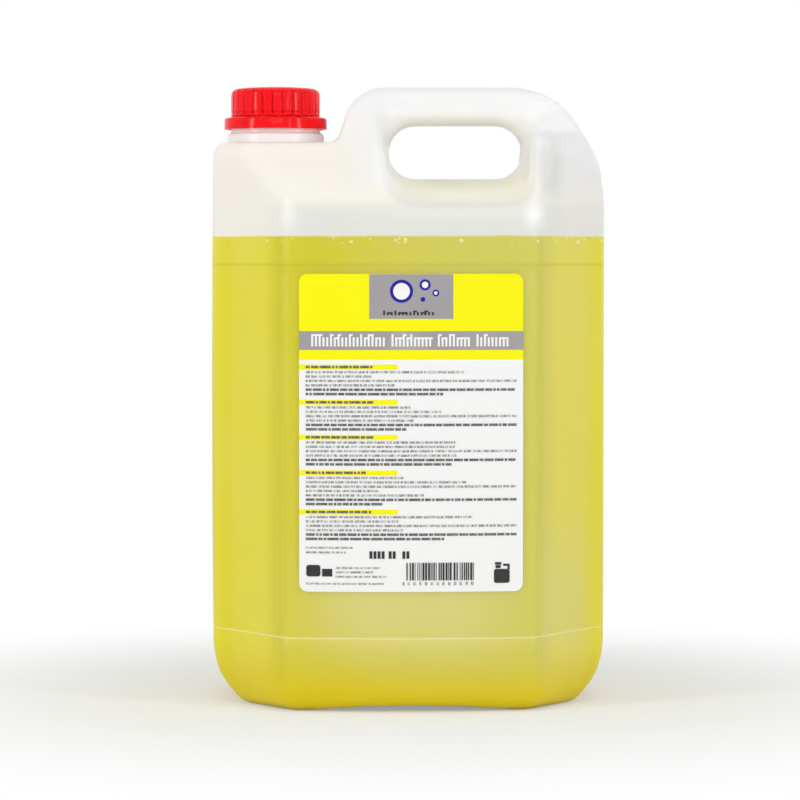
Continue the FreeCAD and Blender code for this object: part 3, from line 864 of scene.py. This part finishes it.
def patch(work, left, right, low, high, corner=0.0, round_above=-1.0):
    """A flat field on the label, cut across to follow its swell, with corners that may be round."""
    size = Matrix.Diagonal((right - left, high - low, 1, 1))
    place = Matrix.Translation(((left + right) / 2, 0, (low + high) / 2))
    strips = max(1, round((right - left) / (5 * MM)))
    upright = Matrix.Rotation(pi / 2, 4, "X")
    made = bmesh.ops.create_grid(
        work, x_segments=strips, y_segments=1, size=0.5, matrix=place @ upright @ size
    )
    if corner:
        ends = [v for v in made["verts"] if len(v.link_edges) == 2 and v.co.z > round_above]
        bmesh.ops.bevel(
            work, geom=ends, offset=corner, segments=8, profile=0.5, affect="VERTICES", material=-1
        )


def lay_on_label(work, lift, thickness):
    """Gives flat fields a thickness and bends them round the label."""
    back = bmesh.ops.extrude_face_region(work, geom=work.faces[:], use_keep_orig=True)
    moved = [v for v in back["geom"] if isinstance(v, bmesh.types.BMVert)]
    bmesh.ops.translate(work, verts=moved, vec=(0, thickness, 0))
    bmesh.ops.recalc_face_normals(work, faces=work.faces)
    for v in work.verts:
        v.co.y += label_face(v.co.x) - lift


def from_top(distance):
    """A height on the label, in millimetres down from its upper edge."""
    return LABEL_HIGH.z - distance * MM


class SOAPJUG_OT_label(bpy.types.Operator):
    """White film of the label"""

    bl_idname = "soapjug.label"
    bl_label = "Label film"

    def execute(self, context):
        sizes, colours = context.scene.jug_sizes, context.scene.jug_colours
        work = bmesh.new()
        patch(work, LABEL_LOW.x, LABEL_HIGH.x, LABEL_LOW.z, LABEL_HIGH.z, sizes.label_corner)
        lay_on_label(work, 0, FILM_THICKNESS)
        film = film_finish("label_film", colours.film, (0.86, 0.86, 0.86), 0.36)
        add_piece("label_film", work, film, "jug", "label", "front_label").data.shade_flat()
        return {"FINISHED"}


# Upper edges of the label's headings, millimetres down from its top, and the rows under each
SECTIONS = (42.4, 58.9, 75.3, 91.9, 110.3)
ROWS = (6, 6, 6, 7, 6)
ROW_PITCH = 2.05


def word_row(work, left, right, z, height, dice):
    """A row of plain dashes, as long as words are."""
    x = left
    while x < right - 0.8 * MM:
        word = min(dice.choice((1.2, 2.0, 2.8, 3.4, 4.2, 5.4)) * MM, right - x)
        patch(work, x, x + word, z - height / 2, z + height / 2)
        x += word + 0.5 * MM


class SOAPJUG_OT_print(bpy.types.Operator):
    """Print on the label: plain fields, dashes for words, bars and simple marks"""

    bl_idname = "soapjug.print"
    bl_label = "Label print"

    def execute(self, context):
        sizes, colours = context.scene.jug_sizes, context.scene.jug_colours
        lift = sizes.ink_lift
        left, right = LABEL_LOW.x, LABEL_HIGH.x
        self.add_fields(sizes, colours, left, right, lift)
        self.add_badge(colours, lift)
        self.add_words(colours, left, right, lift)
        return {"FINISHED"}

    def add_fields(self, sizes, colours, left, right, lift):
        work = bmesh.new()
        patch(work, left, right, from_top(40.2), from_top(0), sizes.label_corner, from_top(20))
        for top in SECTIONS:
            patch(work, left, -6.5 * MM, from_top(top + 2.4), from_top(top))
        lay_on_label(work, lift, INK_THICKNESS)
        yellow = film_finish("yellow_ink", colours.yellow, (0.96, 0.88, 0.01), 0.34)
        add_piece("label_yellow", work, yellow, "jug", "label").data.shade_flat()
        work = bmesh.new()
        patch(work, -19.7 * MM, 19.6 * MM, from_top(21.1), from_top(0.2))
        patch(work, left, right, from_top(35.6), from_top(26.8))
        lay_on_label(work, 2 * lift, INK_THICKNESS)
        add_piece("label_silver", work, silver_finish(colours), "jug", "label").data.shade_flat()

    def add_badge(self, colours, lift):
        """Bubbles on the silver plate, and the strokes on the band under it."""
        work = bmesh.new()
        for x, z, r in ((-4.6, 8.2, 5.4), (6.4, 5.2, 2.6), (11.4, 9.0, 1.6), (5.4, 12.0, 1.1)):
            place = Matrix.Translation((x * MM, 0, from_top(z))) @ Matrix.Rotation(pi / 2, 4, "X")
            bmesh.ops.create_circle(work, cap_ends=True, segments=40, radius=r * MM, matrix=place)
        lay_on_label(work, 3 * lift, INK_THICKNESS)
        blue = film_finish("blue_ink", colours.blue, (0.03, 0.02, 0.42), 0.34)
        add_piece("badge_blue", work, blue, "jug", "label").data.shade_flat()
        work = bmesh.new()
        for x, z, r in ((-4.6, 8.2, 3.9), (6.4, 5.2, 1.5), (11.4, 9.0, 0.8)):
            place = Matrix.Translation((x * MM, 0, from_top(z))) @ Matrix.Rotation(pi / 2, 4, "X")
            bmesh.ops.create_circle(work, cap_ends=True, segments=40, radius=r * MM, matrix=place)
        self.add_strokes(work, -46.8, (20, 11, 9, 9), (34.0, 29.7, 28.2), 1.76, random.Random(4))
        lay_on_label(work, 4 * lift, INK_THICKNESS)
        white = film_finish("white_ink", colours.film, (0.88, 0.88, 0.87), 0.36)
        add_piece("label_white", work, white, "jug", "label").data.shade_flat()

    def add_strokes(self, work, x, groups, levels, pitch, dice):
        """Upright strokes in groups, in the place of a title, all in millimetres."""
        foot, short, tall = levels
        for strokes in groups:
            for i in range(strokes):
                top = tall if i == 0 or dice.random() < 0.25 else short
                patch(work, x * MM, (x + 0.55 * pitch) * MM, from_top(foot), from_top(top))
                if dice.random() < 0.6:
                    start, end, low = x + 0.5 * pitch, x + pitch, top + 0.5 * pitch
                    patch(work, start * MM, end * MM, from_top(low), from_top(top))
                x += pitch
            x += 1.3 * pitch

    def add_pictogram(self, work):
        """A plain little jug in bold black."""
        patch(work, 38.8 * MM, 46.2 * MM, from_top(145.0), from_top(138.4), 1.1 * MM)
        patch(work, 39.6 * MM, 42.0 * MM, from_top(138.0), from_top(136.6))
        patch(work, 39.3 * MM, 42.3 * MM, from_top(136.4), from_top(135.2))
        patch(work, 43.2 * MM, 46.2 * MM, from_top(137.0), from_top(136.0))
        patch(work, 45.2 * MM, 46.2 * MM, from_top(138.6), from_top(136.9))

    def add_words(self, colours, left, right, lift):
        dice = random.Random(7)
        plain, bold, marks = bmesh.new(), bmesh.new(), bmesh.new()
        margin = 3.1 * MM
        for top, rows in zip(SECTIONS, ROWS):
            end = dice.uniform(-22, -10) * MM
            word_row(bold, left + margin, end, from_top(top + 1.2), 1.2 * MM, dice)
            for row in range(rows):
                full = row in (2, rows - 2)
                end = right - margin if full else dice.uniform(-20, 30) * MM
                z = from_top(top + 3.6 + ROW_PITCH * row)
                heavy = row >= rows - 2
                height = (1.2 if heavy else 1.1) * MM
                word_row(bold if heavy else plain, left + margin, end, z, height, dice)
        for distance, start, end in (
            (128.3, -49.4, -26.5), (130.5, -49.4, -29.5), (137.8, -35.5, -14),
            (139.8, -35.5, -18), (141.9, -35.5, -11.8), (145.2, -49.4, -11.8),
        ):
            word_row(plain, start * MM, end * MM, from_top(distance), 0.9 * MM, dice)
        for start, blocks in ((-19.6, 4), (-10.6, 2), (-4.2, 2)):
            for i in range(blocks):
                x = start + 1.9 * i
                patch(marks, x * MM, (x + 1.35) * MM, from_top(133.4), from_top(129.9))
        patch(marks, -49.2 * MM, -42.6 * MM, from_top(141.8), from_top(136.4), 1.2 * MM)
        patch(marks, -41.8 * MM, -37.0 * MM, from_top(141.8), from_top(138.2))
        self.add_pictogram(marks)
        self.add_strokes(marks, -13.2, (14,), (19.4, 17.9, 17.2), 1.75, dice)
        x = -2.3
        while x < 30:
            bar = dice.choice((0.25, 0.35, 0.6, 0.9))
            patch(marks, x * MM, (x + bar) * MM, from_top(143.6), from_top(135.3))
            x += bar + dice.choice((0.35, 0.5, 0.9))
        for i in range(13):
            x = -4.4 + 2.7 * i
            patch(plain, x * MM, (x + 1.2) * MM, from_top(145.9), from_top(144.3))
        for work, name, cover, above in (
            (plain, "label_words", 0.3, 2),
            (bold, "label_bold", 0.78, 2),
            (marks, "label_marks", 0.985, 3),
        ):
            lay_on_label(work, above * lift, INK_THICKNESS)
            finish = ink_finish(name, colours, cover)
            add_piece(name, work, finish, "jug", "label").data.shade_flat()


class SOAPJUG_OT_stage(bpy.types.Operator):
    """Floor, lamps, plain surroundings and the camera"""

    bl_idname = "soapjug.stage"
    bl_label = "Stage"

    def execute(self, context):
        work = bmesh.new()
        bmesh.ops.create_circle(work, cap_ends=True, segments=64, radius=6)
        mesh = bpy.data.meshes.new("floor")
        work.to_mesh(mesh)
        work.free()
        floor = bpy.data.objects.new("floor", mesh)
        context.collection.objects.link(floor)
        mesh.materials.append(floor_finish())
        surroundings(context.scene)
        add_lamp("strip_left", -56, 1.5, 0.62, (0.20, 0.85), 6.6)
        add_lamp("strip_right", 53, 1.5, 0.62, (0.16, 0.85), 4.8)
        add_lamp("strip_inner", 31, 2.0, 0.60, (0.12, 0.80), 2.2)
        add_lamp("front", 2, 2.6, 1.1, (1.2, 0.7), 5.6)
        add_lamp("top", 0, 0.05, 1.5, (1.2, 0.9), 3.2)
        add_camera(context.scene)
        return {"FINISHED"}


def floor_finish():
    """Pale floor that keeps the shadow near the jug, and fades into the white further out."""
    f = Finish("pale_floor", {"Roughness": 0.9, "Specular IOR Level": 0.1})
    f.paint({"Base Color": f.mix(f.noise(5, 2), (0.95, 0.95, 0.95), (0.93, 0.93, 0.93))})
    white = f.node("ShaderNodeEmission", {}, {"Color": (1, 1, 1), "Strength": 1.0}, out="Emission")
    away = f.length(f.place)
    seen = f.node("ShaderNodeLightPath", {}, {}, out="Is Camera Ray")
    share = seen * (0.3 + 0.7 * away.step(0.12, 0.36))
    surface = f.node("ShaderNodeMixShader", {}, [share, f.skin, white])
    f.feed(f.tree.nodes["Material Output"].inputs["Surface"], surface)
    return f.material


def surroundings(scene):
    """White to the camera and in reflections, and a softer light on the object."""
    scene.view_settings.view_transform = "Standard"
    scene.world = bpy.data.worlds.new("white_room")
    scene.world.use_nodes = True
    tree = scene.world.node_tree
    light = tree.nodes["Background"]
    light.inputs["Color"].default_value = (1, 1, 1, 1)
    light.inputs["Strength"].default_value = 0.48
    white = tree.nodes.new("ShaderNodeBackground")
    white.inputs["Color"].default_value = (1, 1, 1, 1)
    path = tree.nodes.new("ShaderNodeLightPath")
    seen = path.outputs["Is Camera Ray"]
    for ray in ("Is Glossy Ray", "Is Transmission Ray"):
        either = tree.nodes.new("ShaderNodeMath")
        either.operation = "MAXIMUM"
        tree.links.new(seen, either.inputs[0])
        tree.links.new(path.outputs[ray], either.inputs[1])
        seen = either.outputs[0]
    chooser = tree.nodes.new("ShaderNodeMixShader")
    tree.links.new(seen, chooser.inputs[0])
    tree.links.new(light.outputs[0], chooser.inputs[1])
    tree.links.new(white.outputs[0], chooser.inputs[2])
    tree.links.new(chooser.outputs[0], tree.nodes["World Output"].inputs["Surface"])


def add_lamp(name, azimuth, away, height, size, power):
    """A soft box that faces the jug's middle, its azimuth in degrees to the right of the front."""
    lamp = bpy.data.lights.new(name, "AREA")
    lamp.shape = "RECTANGLE"
    lamp.size, lamp.size_y = size
    lamp.energy = power
    place = Vector((sin(radians(azimuth)) * away, -cos(radians(azimuth)) * away, height))
    holder = bpy.data.objects.new(name, lamp)
    holder.location = place
    holder.rotation_euler = (Vector((0, 0, 0.17)) - place).to_track_quat("-Z", "Y").to_euler()
    bpy.context.collection.objects.link(holder)


def add_camera(scene):
    """Long lens, a little above the middle and a little to the left."""
    away, side, drop = 1.7, radians(-1.4), 0.073
    middle = Vector((-0.0036, 0, 0.144))
    data = bpy.data.cameras.new("camera")
    data.lens = 92.4 * away
    camera = bpy.data.objects.new("camera", data)
    camera.location = middle + Vector((sin(side), -cos(side), drop / away)) * away
    camera.rotation_euler = (middle - camera.location).to_track_quat("-Z", "Y").to_euler()
    scene.collection.objects.link(camera)
    scene.camera = camera


class SOAPJUG_PT_pieces(bpy.types.Panel):
    """Sizes, colours and pieces of the jug"""

    bl_idname = "SOAPJUG_PT_pieces"
    bl_label = "Soap Jug"
    bl_space_type = "VIEW_3D"
    bl_region_type = "UI"
    bl_category = "Soap Jug"

    def draw(self, context):
        for group in (context.scene.jug_sizes, context.scene.jug_colours):
            for name in group.__annotations__:
                self.layout.prop(group, name)
        for operator in OPERATORS:
            self.layout.operator(operator.bl_idname)


OPERATORS = (
    SOAPJUG_OT_shell, SOAPJUG_OT_neck, SOAPJUG_OT_cap, SOAPJUG_OT_liner, SOAPJUG_OT_ring,
    SOAPJUG_OT_soap, SOAPJUG_OT_label, SOAPJUG_OT_print, SOAPJUG_OT_stage,
)
CLASSES = (JugSizes, JugColours, *OPERATORS, SOAPJUG_PT_pieces)


def register():
    for cls in CLASSES:
        bpy.utils.register_class(cls)
    bpy.types.Scene.jug_sizes = bpy.props.PointerProperty(type=JugSizes)
    bpy.types.Scene.jug_colours = bpy.props.PointerProperty(type=JugColours)


def unregister():
    del bpy.types.Scene.jug_colours
    del bpy.types.Scene.jug_sizes
    for cls in reversed(CLASSES):
        bpy.utils.unregister_class(cls)


def main():
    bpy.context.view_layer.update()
    register()
    bpy.ops.soapjug.shell()
    bpy.ops.soapjug.neck()
    bpy.ops.soapjug.cap()
    bpy.ops.soapjug.liner()
    bpy.ops.soapjug.ring()
    bpy.ops.soapjug.soap()
    bpy.ops.soapjug.label()
    bpy.ops.soapjug.print()
    bpy.ops.soapjug.stage()


if __name__ == "__main__":
    main()
